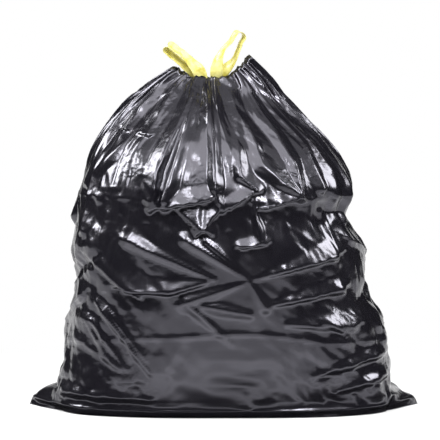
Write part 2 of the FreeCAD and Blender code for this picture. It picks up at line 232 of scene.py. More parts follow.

# %% [markdown]
# ## The big folds
# Where the waste pushes from inside, the film is drawn into long straight folds between the places
# that are tight. They are placed one by one from the photograph, each a straight-sided ridge along a
# line, because a simulation alone would put its folds somewhere else.

# %% The big folds
# Start, end, width above and below the line at its start, the same at its end, and depth at each.
# A point is how far across its side and how high, in millimetres. Depths under 0 are valleys.
FRONT_FOLDS = (
    # The long ledge on the left that catches the light, and the folds that run to one tight point.
    ((-223, 262), (-150, 209), 34, 6, 30, 7, 5, 14),
    ((-150, 209), (-82, 206), 30, 8, 18, 6, 14, 11),
    ((-82, 206), (-24, 221), 18, 6, 8, 4, 11, 3),
    ((-150, 288), (-11, 225), 12, 18, 4, 5, 9, 2),
    ((-57, 290), (41, 225), 14, 16, 3, 4, 8, 1),
    ((-27, 287), (43, 227), 8, 6, 2, 2, 5, 1),
    ((181, 261), (46, 224), 26, 10, 3, 3, 13, 1),
    ((189, 208), (69, 182), 20, 10, 6, 4, 13, 2),
    ((208, 149), (101, 153), 22, 14, 6, 5, 9, 2),
    ((-57, 192), (43, 222), 10, 22, 3, 4, 7, 1),
    ((69, 182), (44, 222), 14, 14, 3, 3, 6, 1),
    ((-29, 186), (44, 170), 8, 18, 8, 10, 5, 3),
    ((-57, 190), (16, 122), 12, 14, 5, 6, 6, 1),
    # The crumpled corner on the lower left, and the folds that run to the bottom corners.
    ((-199, 184), (-114, 74), 10, 6, 4, 4, 7, 2),
    ((-182, 176), (-121, 96), 5, 5, 4, 4, 5, 2),
    ((-209, 155), (-153, 82), 7, 6, 5, 5, 5, 2),
    ((-244, 130), (-162, 82), 14, 12, 8, 8, 5, 2),
    ((264, 102), (146, 70), 20, 10, 5, 4, 12, 2),
    ((262, 64), (172, 40), 12, 8, 6, 5, 7, 2),
    ((71, 39), (-6, 10), 22, 12, 10, 6, 2, 1),
    ((-252, 39), (-114, 32), 14, 10, 8, 6, 6, 2),
    # The swags under the gathers: ledges where slack film hangs over the tight film below.
    ((-86, 340), (-19, 353), 24, 4, 20, 4, 14, 9),
    ((-70, 335), (-30, 305), 20, 4, 24, 4, 4, 13),
    ((-30, 305), (-3, 337), 24, 4, 14, 4, 13, 8),
    ((-11, 371), (0, 337), 7, 7, 8, 8, 13, 9),
    ((13, 340), (57, 368), 18, 4, 12, 4, 8, 12),
    ((70, 338), (126, 356), 26, 4, 14, 4, 9, 14),
    ((47, 352), (63, 290), 6, 6, 9, 9, 5, 9),
    ((31, 277), (70, 283), 14, 4, 12, 4, 8, 8),
    ((-160, 463), (-116, 452), 16, 4, 14, 4, 9, 8),
    ((-222, 376), (-200, 349), 12, 10, 10, 10, 13, 4),
    # The main pleats, each from the mouth down to its swag.
    ((-47, 520), (-99, 401), 10, 8, 46, 9, 8, 20),
    ((-99, 401), (-110, 339), 46, 9, 14, 8, 20, 12),
    ((-41, 517), (-92, 352), 7, 8, 8, 22, 8, 17),
    ((-18, 504), (-11, 371), 12, 8, 16, 12, 6, 13),
    ((23, 488), (29, 390), 8, 8, 14, 12, 5, 10),
    ((29, 390), (57, 368), 12, 8, 12, 8, 10, 12),
    ((39, 475), (64, 409), 8, 10, 10, 12, 7, 10),
    ((64, 409), (126, 358), 16, 20, 10, 16, 10, 15),
    ((23, 510), (81, 459), 10, 8, 14, 12, 6, 12),
    ((81, 459), (112, 411), 14, 12, 14, 10, 12, 15),
    ((112, 411), (126, 361), 14, 10, 10, 12, 15, 15),
    ((65, 507), (130, 439), 10, 10, 14, 14, 7, 14),
    ((130, 439), (161, 369), 10, 16, 8, 14, 14, 14),
    ((95, 503), (175, 397), 8, 8, 10, 10, 5, 9),
    ((128, 490), (197, 374), 8, 8, 10, 10, 4, 8),
    ((-88, 510), (-222, 376), 8, 10, 12, 14, 6, 13),
    ((-79, 529), (-181, 474), 8, 8, 10, 10, 6, 8),
    ((176, 406), (188, 318), 14, 14, 12, 12, 7, 9),
    ((-232, 356), (-210, 282), 12, 12, 12, 12, 8, 4),
    ((10, 536), (79, 516), 6, 8, 6, 8, 5, 6),
)
# The folds of the two sides, where the welded edge puckers.
LEFT_FOLDS = (
    ((-120, 250), (90, 178), 26, 14, 20, 14, -10, -4),
    ((110, 300), (-70, 236), 26, 14, 12, 14, 10, 3),
    ((-100, 196), (60, 130), 24, 14, 12, 14, 9, 3),
    ((120, 170), (-60, 92), 26, 14, 12, 14, 10, 3),
    ((-60, 420), (-90, 300), 20, 14, 22, 14, 5, 12),
    ((40, 430), (20, 320), 20, 14, 22, 14, 5, 12),
)
RIGHT_FOLDS = (
    ((110, 262), (-110, 184), 26, 14, 12, 14, -9, -3),
    ((-110, 330), (90, 306), 26, 14, 12, 14, -9, -4),
    ((-90, 286), (80, 246), 26, 14, 12, 14, 10, 3),
    ((110, 170), (-90, 112), 26, 14, 12, 14, 10, 3),
    ((-50, 420), (-70, 320), 20, 14, 22, 14, 5, 12),
    ((50, 430), (60, 330), 20, 14, 22, 14, 5, 12),
)
# Which way each side faces, and its folds. The back has the front's, the other way round.
SIDES = (
    ((0.0, -1.0), FRONT_FOLDS),
    ((0.0, 1.0), FRONT_FOLDS),
    ((-1.0, 0.0), LEFT_FOLDS),
    ((1.0, 0.0), RIGHT_FOLDS),
)
print("folds:", sum(len(folds) for facing, folds in SIDES))

# %% [markdown]
# ## Adding up the folds
# Each fold is a tent along its line. If the tents were summed, they would pile up where folds meet.
# So of all ridges at a point only the highest counts, and of all valleys only the deepest.

# %% Adding up the folds
FOLD_START_HEIGHT = 30.0


def fold_lift(points, out):
    """How far the big folds lift the film: each is a tent that falls straight from its line.

    Width and depth run evenly from the fold's start to its end. Where folds meet, the higher ridge
    and the deeper valley win, so that they join in sharp lines.
    """
    ridge = valley = np.zeros(points.shape[1:])
    for facing, folds in SIDES:
        turned = np.clip(out[0] * facing[0] + out[1] * facing[1], 0.0, 1.0)
        across = points[1] if facing[1] == 0.0 else -facing[1] * points[0]
        for start, end, above, below, end_above, end_below, depth, end_depth in folds:
            run = (end[0] - start[0], end[1] - start[1])
            away = (across - start[0], points[2] - start[1])
            share = (away[0] * run[0] + away[1] * run[1]) / (run[0] ** 2 + run[1] ** 2)
            share = np.clip(share, 0.0, 1.0)
            offset = (away[0] - share * run[0], away[1] - share * run[1])
            over = math.copysign(1.0, run[0]) * (offset[1] * run[0] - offset[0] * run[1]) > 0.0
            upper = above + (end_above - above) * share
            lower = below + (end_below - below) * share
            height = depth + (end_depth - depth) * share
            tent = np.clip(1.0 - np.hypot(*offset) / np.where(over, upper, lower), 0.0, 1.0)
            lift = height * tent * turned
            ridge, valley = np.maximum(ridge, lift), np.minimum(valley, lift)
    return (ridge + valley) * ramp(points[2], 0.0, FOLD_START_HEIGHT)


print("folds are at their full depth from a height, mm, of", FOLD_START_HEIGHT)

# %% [markdown]
# ## The form of the bag
# Outline, pleats, corners and folds add up to one surface over two numbers: the angle round the bag
# and the climb from the floor to the hem. The hem isn't level, since the mouth's two ends stand up,
# and a fold's film hangs down a little over the dent below it.

# %% The form of the bag
LEFT_CORNER_RISE, RIGHT_CORNER_RISE, CORNER_SHARPNESS = 17.0, 33.0, 3.0
# How far a fold's edge hangs down, as a share of its lift, and the height from which it does fully.
FOLD_DROOP, DROOP_FULL_HEIGHT = 0.45, 60.0


def film_form(angles, climbs):
    """The bag's outer surface before the film is slackened: outline, pleats, folds and corners.

    Pleats and folds lift the film straight out of the outline. The hem rises to its two ends with
    the third power of the cosine, and a fold's film hangs down by a share of its lift.
    """
    levels = levels_at(climbs)
    points, out = outline(levels, angles)
    folds = fold_lift(points, out)
    lift = levels[:, PLEAT, None] * pleat_wave(angles)[None, :] + folds
    cos = np.cos(angles)[None, :]
    rise = np.where(cos > 0.0, RIGHT_CORNER_RISE, LEFT_CORNER_RISE) * np.abs(cos) ** CORNER_SHARPNESS
    rise = rise * near_hem(climbs, 2.0)[:, None] ** 2
    ear = ear_reach(points, cos > 0.0) * np.sign(cos)
    droop = FOLD_DROOP * np.maximum(folds, 0.0) * ramp(points[2], 0.0, DROOP_FULL_HEIGHT)
    x = points[0] + lift * out[0] + ear
    y = points[1] + lift * out[1]
    return np.stack([x, y, points[2] + rise - droop])


print("hem ends rise, mm:", LEFT_CORNER_RISE, RIGHT_CORNER_RISE)

# %% [markdown]
# ## Noise that wraps round
# Real film varies from place to place by chance. Blurred random numbers stand for that chance: the
# seed makes them the same in every run, and blurring by waves makes the field meet itself where the
# grid closes behind the bag.

# %% Noise that wraps round
NOISE_BLUR = 8.0


def seeded_noise(shape, wide, high, random):
    """Smooth noise that wraps round the bag, with a spread of about 1.

    Random numbers are taken apart into waves, and each wave is weakened by a Gaussian: e to the
    power -8 times the square of its repeats in one blob. wide and high are the blobs' size in steps.
    """
    rows, columns = shape
    raw = np.fft.rfft2(random.standard_normal((2 * rows, columns)))
    fy = np.fft.fftfreq(2 * rows)[:, None]
    fx = np.fft.rfftfreq(columns)[None, :]
    kept = np.exp(-((fy * high) ** 2 + (fx * wide) ** 2) * NOISE_BLUR)
    blurred = np.fft.irfft2(raw * kept, (2 * rows, columns))
    return (blurred[:rows] / blurred.std()).astype(np.float32)


print("noise is blurred by a Gaussian with a factor of", NOISE_BLUR)

# %% [markdown]
# ## Slackening the film
# Film can't stretch, but it has more area than the shape under it, and that slack is what crumples.
# Blender's own cloth could do this. Here the film is a plain grid, so the same idea fits in a few
# lines of numpy: give each edge of the grid a length that is a little longer than it has now, then
# move the points, over and over, until the edges have their lengths again. The surface has nowhere
# to go but out into wrinkles. It is done on a coarse grid first, for the big wrinkles, and then on
# finer ones.

# %% The film's lengths
TINY = 1e-6


def pull(a, b, rest, weight_a, weight_b):
    """Moves the points a and b, along the line between them, to their rest length."""
    gap = b - a
    length = np.sqrt((gap * gap).sum(0)) + TINY
    gap *= (length - rest) / (length * (weight_a + weight_b))
    a += weight_a * gap
    b -= weight_b * gap


def pull_rows(film, weight, rest, shift):
    """Pulls each point and the one above it, shift columns on: even rows first, then odd ones."""
    for first in (0, 1):
        count = (film.shape[1] - first) // 2 * 2
        lower = slice(first, first + count, 2)
        upper = slice(first + 1, first + count, 2)
        b = np.roll(film[:, upper], -shift, 2)
        pull(film[:, lower], b, rest[lower], weight[lower], weight[upper])
        film[:, upper] = np.roll(b, shift, 2)


def pull_columns(film, weight, rest):
    """Pulls each point and the next one round the bag: even columns first, then odd ones."""
    pull(film[:, :, 0::2], film[:, :, 1::2], rest[:, 0::2], weight, weight)
    b = np.roll(film[:, :, 0::2], -1, 2)
    pull(film[:, :, 1::2], b, rest[:, 1::2], weight, weight)
    film[:, :, 0::2] = np.roll(b, 1, 2)


def mean_of_neighbours(film):
    """The mean of the four neighbours of each point, less the point. The first and last rows give 0."""
    out = np.zeros_like(film)
    inner = film[:, 1:-1]
    around = film[:, :-2] + film[:, 2:] + np.roll(inner, 1, 2) + np.roll(inner, -1, 2)
    out[:, 1:-1] = 0.25 * around - inner
    return out


def rest_lengths(form, wide_slack, high_slack):
    """Rest lengths of the four edge families: round, up, and the two diagonals.

    An edge of the form is stretched by 1 + slack round the bag and up it. A diagonal is the length
    of the sum, or the difference, of the two stretched edges.
    """
    around = (np.roll(form, -1, 2) - form) * (1.0 + wide_slack)
    up = (form[:, 1:] - form[:, :-1]) * (1.0 + high_slack[:-1])
    both = around[:, 1:] + around[:, :-1]
    rising = 0.5 * both + 0.5 * (up + np.roll(up, -1, 2))
    falling = 0.5 * (up + np.roll(up, 1, 2)) - 0.5 * np.roll(both, 1, 2)
    edges = (around, up, rising, falling)
    return [np.linalg.norm(edge, axis=0).astype(np.float32) for edge in edges]


print("edge families of the film: round, up and two diagonals")

# %% [markdown]
# ## Over the waste
# The waste holds the film out from inside, and the floor holds it up. Points that sink into either
# are pushed back out. The waste is taken as the outline itself, a little smaller, so that the film
# can settle into its dents but no further. One relaxation then takes turns: sag, bend back, restore
# the lengths, and now and then push out.

# %% Over the waste
# How far inside the outline the waste lies, how high it reaches, and the film's least height.
CONTENTS_INSET, CONTENTS_TOP, FLOOR_GAP = 9.0, 470.0, 0.6
# The least q that counts, so that one step never moves a point out by more than double.
LEAST_Q = 0.5
CONTACT_EVERY = 4


def keep_outside(film):
    """Moves points that are inside the waste straight out from the bag's middle line.

    A point's share of the outline is q = ((|x| / side)^n + (|y| / depth)^n)^(1/n). Where q is under
    1, x and y are divided by it.
    """
    left, right, front, back, power, drift = [
        np.interp(film[2], LEVELS[:, HEIGHT], LEVELS[:, kind])
        for kind in (LEFT, RIGHT, FRONT, BACK, ROUNDNESS, DRIFT)
    ]
    x = film[0] + drift
    side = np.where(x > 0.0, right + drift, left - drift) - CONTENTS_INSET
    depth = np.where(film[1] > 0.0, back, front) - CONTENTS_INSET
    q = (np.abs(x / side) ** power + np.abs(film[1] / depth) ** power) ** (1.0 / power)
    inside = (q < 1.0) & (film[2] < CONTENTS_TOP)
    scale = np.where(inside, 1.0 / np.maximum(q, LEAST_Q), 1.0)
    film[0] = x * scale - drift
    film[1] *= scale
    film[2] = np.maximum(film[2], FLOOR_GAP)


def slacken(film, weight, rest, steps, stiffness, sag, home, hold):
    """Relaxes the film.

    Each step sags it, draws it a little to its home, bends it back a little and restores all its
    lengths. Every fourth step also puts it back outside the waste.
    """
    around, up, rising, falling = rest
    for step in range(1, steps + 1):
        film[2] -= sag * weight
        film += hold * weight * (home - film)
        bent = mean_of_neighbours(film)
        film -= stiffness * weight * mean_of_neighbours(bent)
        pull_rows(film, weight, up, 0)
        pull_columns(film, weight, around)
        pull_rows(film, weight, rising, 1)
        pull_rows(film, weight, falling, -1)
        if step % CONTACT_EVERY == 0:
            keep_outside(film)
    return film


def finer(film):
    """The same film on a grid with twice the columns and rows: each new point is a mean of old ones."""
    channels, rows, columns = film.shape
    out = np.empty((channels, 2 * rows - 1, 2 * columns), np.float32)
    out[:, 0::2, 0::2] = film
    out[:, 1::2, 0::2] = 0.5 * (film[:, 1:] + film[:, :-1])
    out[:, :, 1::2] = 0.5 * (out[:, :, 0::2] + np.roll(out[:, :, 0::2], -1, 2))
    return out


print("the film stays outside the waste to a height of", CONTENTS_TOP, "mm")

# %% [markdown]
# ## An even grid
# Wrinkles come out even only if the grid's cells are about the same size everywhere. Equal steps of
# the angle would crowd the corners of a squarish outline. So the columns are spread evenly along the
# line round the belly, and the rows along the line up the front.

# %% An even grid
COARSE_COLUMNS, COARSE_ROWS = 120, 44
# The rows are spaced evenly up the front, and the columns round the outline of this level.
CLIMB_SAMPLES, ANGLE_SAMPLES, BELLY_LEVEL = 1200, 4001, 5


def lengths_along(points):
    """How long the curve through the points is, from its start to each of them."""
    runs = np.linalg.norm(np.diff(points, axis=1), axis=0)
    return np.concatenate([[0.0], np.cumsum(runs)])


def even_places(values, points, count):
    """count values whose points lie evenly along the curve through all the points."""
    along = lengths_along(points)
    return np.interp(np.linspace(0.0, along[-1], count), along, values)


fine_climbs = np.linspace(0.0, len(LEVELS) - 1.0, CLIMB_SAMPLES)
front_line = levels_at(fine_climbs)[:, [HEIGHT, FRONT]].T
fine_angles = np.linspace(0.0, 2.0 * math.pi, ANGLE_SAMPLES)
belly = outline(LEVELS[BELLY_LEVEL:BELLY_LEVEL + 1], fine_angles)[0][:, 0]
print("round the belly and up the front, mm:",
      lengths_along(belly)[-1].round(), lengths_along(front_line)[-1].round())

# %% [markdown]
# ## How slack the film is
# The film isn't equally slack: it is nearly tight over the full belly, looser at the sides and over
# the shoulder, and loosest in the gathers. Two numbers at each point say so: one for the slack round
# the bag and one for the slack up it.

# %% How slack the film is
# How loose the film is where it is tightest. In millimetres, how far out to the side it is fully
# loose, between which heights it gets loose at the shoulder, and where the gathers begin and end.
LEAST_LOOSE, LOOSE_REACH, SHOULDER_START, SHOULDER_FULL = 0.05, 240.0, 260.0, 320.0
GATHER_START, GATHER_FULL, GATHER_FADE, GATHER_END = 400.0, 490.0, 505.0, 535.0
# Slack as a share of the film's length: its mean, how it varies, what the gathers add, the most.
WIDE_SLACK = (0.003, 0.008, 0.02, 0.14)
HIGH_SLACK = (0.002, 0.008, 0.005, 0.08)
LEAST_SLACK = -0.003


def slack(kind, blobs, loose, gather):
    """(mean + variation x noise) x looseness, and more in the gathers."""
    mean, variation, more, most = kind
    share = (mean + variation * blobs) * loose + more * gather
    return np.clip(share, LEAST_SLACK, most).astype(np.float32)


print("mean slack, percent:", 100.0 * WIDE_SLACK[0], "round the bag and", 100.0 * HIGH_SLACK[0], "up it")

# %% [markdown]
# ## Running it
# The film starts as the outline with its pleats and folds, pushed in and out a little at random so
# that it has somewhere to buckle. Each finer grid starts from what the coarser one found, so it only
# adds smaller wrinkles to the big ones.

# %% Running it
FILM_SEED = 11
# For each grid: how many steps, and how stiff the film is.
GRIDS = ((400, 0.004), (300, 0.002), (200, 0.0))
# How far the coarse film sags in a step, in millimetres, and what share of its way home it moves.
COARSE_SAG, HOLD = 0.02, 0.002
# Blob sizes of the random fields, round the bag and up it, in steps of the coarse grid: for the
# slack round the bag, the slack up it and the first push. The fourth field is only drawn, so that
# the draws after it stay as they are.
BLOB_SIZES = ((5, 9), (9, 5), (4, 4), (3, 6))
# The first push and what each finer grid adds to it, in millimetres, and that one's blob size.
FIRST_PUSH, FINER_PUSH, FINER_BLOB = 1.5, 0.4, 3.0


def level_push(form, distance):
    """Moves by a distance straight out from the bag's middle line, level with the floor."""
    out = np.stack([form[0], form[1], 0.0 * form[0]])
    return distance * out / np.linalg.norm(out, axis=0)


random = np.random.default_rng(FILM_SEED)
for grid, (steps, stiffness) in enumerate(GRIDS):
    rows = (COARSE_ROWS - 1) * 2 ** grid + 1
    columns = COARSE_COLUMNS * 2 ** grid
    angles = even_places(fine_angles, belly, columns + 1)[:-1]
    climbs = even_places(fine_climbs, front_line, rows)
    form = film_form(angles, climbs).astype(np.float32)
    height = levels_at(climbs)[:, HEIGHT, None]
    if grid == 0:
        blobs = [seeded_noise((rows, columns), wide, high, random) for wide, high in BLOB_SIZES]
        moved = level_push(form, FIRST_PUSH * blobs[2])
    else:
        blobs = [finer(blob[None])[0] for blob in blobs]
        fresh = seeded_noise((rows, columns), FINER_BLOB, FINER_BLOB, random)
        moved = finer(moved) + level_push(form, FINER_PUSH * fresh)
    film = form + moved
    gather = ramp(height, GATHER_START, GATHER_FULL) * (1.0 - ramp(height, GATHER_FADE, GATHER_END))
    edge = ramp(np.abs(form[0]), 0.0, LOOSE_REACH)
    loose = np.maximum(edge, ramp(height, SHOULDER_START, SHOULDER_FULL))
    loose = LEAST_LOOSE + (1.0 - LEAST_LOOSE) * loose
    wide_slack = slack(WIDE_SLACK, blobs[0], loose, gather)
    high_slack = slack(HIGH_SLACK, blobs[1], loose, gather)
    rest = rest_lengths(form, wide_slack, high_slack)
    weight = np.ones((rows, 1), np.float32)
    weight[[0, -1]] = TINY
    film = slacken(film, weight, rest, steps, stiffness, COARSE_SAG / 2 ** grid, form, HOLD)
    moved = film - form
    print("grid", rows, "by", columns, "moved, mm:", round(float(np.abs(moved).mean()), 2))

# %% [markdown]
# ## Crumpling
# Handled film is creased like paper: flat facets that meet in sharp straight lines. Random heights
# at random points, joined by flat triangles, give just that. The points come from a grid, each
# shifted inside its own cell, so that every place on the film knows which few triangles to try.

# %% Crumpling
# How far a point is shifted in its cell, and between what its random height is multiplied.
NODE_SHIFT, NODE_HEIGHTS = 0.36, (0.3, 1.6)
# Cells that the grid has below the film, and in all more than the film needs.
CELLS_BELOW, SPARE_CELLS = 1.5, 4


def corner_values(table, i, j):
    """The node values of the four corners of cell i, j, on a grid that wraps round."""
    count = table.shape[1]
    return [table[j + dj, (i + di) % count] for dj in (0, 1) for di in (0, 1)]


def facets(around, up, girth, wide, high, slant, random):
    """Random heights joined by flat triangles, on a slanted grid of cells that wraps round the bag.

    A point lies in a triangle when its three shares of the corners are all above 0. Its height is
    the corners' heights in those shares. Each point tries the 18 triangles of the 9 cells near it.
    """
    count = round(girth / wide)
    a = around / girth * count + slant * up / high
    b = np.broadcast_to(up / high, a.shape) + CELLS_BELOW
    shape = (int(b.max()) + SPARE_CELLS, count)
    heights = random.standard_normal(shape) * random.uniform(*NODE_HEIGHTS, shape)
    slips = [random.uniform(-NODE_SHIFT, NODE_SHIFT, shape) for way in (0, 1)]
    total = np.zeros(a.shape)
    found = np.zeros(a.shape, bool)
    for dj in (-1, 0, 1):
        for di in (-1, 0, 1):
            i, j = np.floor(a).astype(int) + di, np.floor(b).astype(int) + dj
            h = corner_values(heights, i, j)
            x = [slip + i + k % 2 - a for k, slip in enumerate(corner_values(slips[0], i, j))]
            y = [slip + j + k // 2 - b for k, slip in enumerate(corner_values(slips[1], i, j))]
            for p, q, r in ((0, 1, 2), (3, 2, 1)):
                area = (x[q] - x[p]) * (y[r] - y[p]) - (x[r] - x[p]) * (y[q] - y[p])
                share_p = (x[q] * y[r] - x[r] * y[q]) / area
                share_q = (x[r] * y[p] - x[p] * y[r]) / area
                share_r = 1.0 - share_p - share_q
                inside = (share_p >= 0.0) & (share_q >= 0.0) & (share_r >= 0.0) & ~found
                total = np.where(inside, share_p * h[p] + share_q * h[q] + share_r * h[r], total)
                found |= inside
    return total


print("a point's height varies by a factor from", NODE_HEIGHTS[0], "to", NODE_HEIGHTS[1])

# %% [markdown]
# ## Crumples on the film
# Three sizes of facet are added up and pushed out of the film along its own direction. They are as
# strong as the film is loose. They fade out at the floor and the hem, and the pleats have less.

# %% Crumples on the film
# Size round the bag, size up it, height and slant. All are millimetres but the slant.
CRUMPLES = ((58.0, 66.0, 2.6, 0.35), (31.0, 38.0, 1.7, -0.6), (15.0, 19.0, 0.8, 0.8))
# The crumples are full from this height. Over the pleats, between these heights, they calm down.
CRUMPLE_FULL_HEIGHT = 40.0
PLEATS_START, PLEATS_FULL, PLEATS_CALM = 300.0, 380.0, 0.65
# They are lower where the film is tight, and where the gathers make the bag narrow: what comes off
# the looseness, and the least share of the belly's girth that counts.
BELLY_CALM, NECK_SHARE = 0.04, 0.4


def normals(film):
    """Outward directions of a film that wraps round: the cross product of its two grid directions."""
    around = np.roll(film, -1, 2) - np.roll(film, 1, 2)
    up = np.gradient(film, axis=1)
    out = np.cross(around, up, axis=0)
    return out / np.linalg.norm(out, axis=0)


girth = lengths_along(belly)[-1]
around = np.linspace(0.0, girth, columns, endpoint=False)[None, :]
up = np.interp(climbs, fine_climbs, lengths_along(front_line))[:, None]
girth_share = np.linalg.norm(np.roll(form, -1, 2) - form, axis=0).sum(1)[:, None] / girth
crumple = np.zeros(film.shape[1:])
for wide, high, size, slant in CRUMPLES:
    crumple += size * facets(around, up, girth, wide, high, slant, random)
crumple *= np.clip(girth_share, NECK_SHARE, 1.0) * (loose - BELLY_CALM)
crumple *= ramp(film[2], 0.0, CRUMPLE_FULL_HEIGHT)
crumple *= 1.0 - PLEATS_CALM * ramp(film[2], PLEATS_START, PLEATS_FULL)
crumple *= 1.0 - near_hem(climbs, 2.5)[:, None]
film += (crumple * normals(film)).astype(np.float32)
print("crumples, mm:", round(float(np.abs(crumple).mean()), 2))

# %% [markdown]
# ## The packing creases
# A new bag is sold folded flat, and two of those folding lines still run round the full one. They
# are sharp, low and almost level, which is what sets them apart from the folds that the waste makes.

# %% The packing creases
# Each crease's height, how far its line dips in the middle, and how high its ridge is.
CREASES = ((346.0, 5.0, 1.3), (124.0, -9.0, 1.1))
CREASE_HALF_WIDTH, CREASE_BEND, CREASE_WANDER, CREASE_WANDER_SIZE = 6.0, 90.0, 2.0, 37.0


def crease_lift(form):
    """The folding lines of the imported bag: sharp low ridges round it at two heights.

    Each is a tent whose line dips with a cosine of x towards the middle, or rises where the dip is
    under 0, and wanders with a short sine of x.
    """
    lift = np.zeros(form.shape[1:])
    for height, dip, rise in CREASES:
        line = height - dip * np.cos(form[0] / CREASE_BEND)
        line = line + CREASE_WANDER * np.sin(form[0] / CREASE_WANDER_SIZE)
        lift += rise * np.clip(1.0 - np.abs(form[2] - line) / CREASE_HALF_WIDTH, 0.0, 1.0)
    return lift


film += level_push(film, crease_lift(film))
print("packing creases at heights, mm:", [crease[0] for crease in CREASES])

# %% [markdown]
# ## The hem and the mouth
# The hem is a narrow tunnel of film, and the tape inside it pulls its edge into a small ruffle. From
# the hem the film goes down inside to the bottom of the mouth, where the gathers close it. Rows for
# that, and rows for the flat patch on the floor, are added to the grid, so that no edge stays open.

# %% The hem and the mouth
MOUTH_ROWS = 6
MOUTH_DEPTH = 22.0
MOUTH_FLOOR_HEIGHT = LEVELS[-1, HEIGHT] - MOUTH_DEPTH
MOUTH_FLOOR_LENGTH, MOUTH_FLOOR_WIDTH = 92.0, 18.0
FLOOR_ROWS = 5
# Each ruffle's blob size in steps, and its height.
RUFFLES = ((6.0, 1.3), (2.5, 0.78))


def close_film(film, angles):
    """Adds the rows that turn in over the hem to the mouth's floor, and those under the bag.

    Each row of the mouth is a share of the way from the hem to an ellipse on the mouth's floor,
    and each row under the bag is the lowest row of film, shrunk towards the origin.
    """
    rim = film[:, -1]
    mouth = np.stack([
        0.5 * MOUTH_FLOOR_LENGTH * np.cos(angles) - LEVELS[-1, DRIFT],
        0.5 * MOUTH_FLOOR_WIDTH * np.sin(angles),
        np.full(len(angles), MOUTH_FLOOR_HEIGHT),
    ])
    share = np.linspace(0.0, 1.0, MOUTH_ROWS + 1)[1:, None]
    inside = rim[:, None] * (1.0 - share) + mouth[:, None] * share
    under = film[:, :1] * np.linspace(0.0, 1.0, FLOOR_ROWS + 1)[1:, None]
    under[2] = 0.0
    return np.concatenate([under, film, inside], axis=1)


ruffle = sum(rise * seeded_noise((1, columns), size, 1.0, random)[0] for size, rise in RUFFLES)
film[2] += ruffle * near_hem(climbs, 2.0)[:, None]
points = close_film(film.astype(float), angles)
print("rows and columns of the closed film:", points.shape[1:])

# %% [markdown]
# ## The film as a mesh
# The rows and columns become faces of four corners, and a fan of triangles closes each end. How far
# the film was handled goes along as an attribute, a number kept for each point, because the crinkles
# of the material need it.

# %% The film as a mesh


def grid_mesh(name, points):
    """A closed mesh from a grid that wraps round: quads between rows, and a fan at each end."""
    rows, columns = points.shape[1:]
    corner = np.arange(rows * columns).reshape(rows, columns)
    after = np.roll(corner, -1, 1)
    quads = np.stack([corner[:-1], after[:-1], after[1:], corner[1:]], axis=-1).reshape(-1, 4)
    poles = np.stack([points[:, 0].mean(1), points[:, -1].mean(1)], axis=1)
    low, high = rows * columns, rows * columns + 1
    fans = np.concatenate([
        np.stack([after[0], corner[0], np.full(columns, low)], axis=-1),
        np.stack([corner[-1], after[-1], np.full(columns, high)], axis=-1),
    ])
    places = np.concatenate([points.reshape(3, -1), poles], axis=1).T * MM
    mesh = bpy.data.meshes.new(name)
    mesh.from_pydata(places.tolist(), [], quads.tolist() + fans.tolist())
    mesh.validate()
    mesh.shade_smooth()
    return mesh


film_object = add_object("bag_film", grid_mesh("bag_film", points))
# How much each point was handled, for the crinkles: nothing on the floor, all of it in the mouth.
handled = np.concatenate([np.zeros((FLOOR_ROWS, columns)), loose, np.ones((MOUTH_ROWS, columns))])
handled = np.append(handled.ravel(), [0.0, 1.0]).astype(np.float32)
film_object.data.attributes.new("handled", "FLOAT", "POINT").data.foreach_set("value", handled)
print("film triangles:", 2 * points.shape[1] * columns)

# %% [markdown]
# ## The tape loops
# The drawstring is two strips of thicker film, each welded into a loop that runs inside the hem and
# comes out of the mouth. A ribbon like that is a profile carried along a path. This is the path: it
# goes up one leg, round the tip and down the other, and it says which way the tape faces.

# %% The tape loops
TAPE_WIDTH, TAPE_ROOT_WIDTH, TAPE_THICKNESS, TAPE_ROOT_GAP = 25.0, 15.0, 0.5, 2.4
TAPE_UPRIGHT = 40.0
LOOP_STEPS, TIP_STEPS = 12, 6
# How soon the twist, the gap, the width and the cup are full: 2 is halfway up the loop.
TWIST_PACE, GAP_PACE, WIDTH_PACE, CUP_PACE = 1.4, 1.2, 2.5, 3.0
# Where each loop stands in the mouth, its lean, its length, its gap at the tip, how much wider the
# gap is in the middle, and its twist.
LOOPS = {
    "left_tape_loop": (-33.0, math.radians(140.0), 97.0, 10.0, 3.0, math.radians(62.0)),
    "right_tape_loop": (-9.0, math.radians(60.0), 105.0, 14.0, 13.0, math.radians(-72.0)),
}


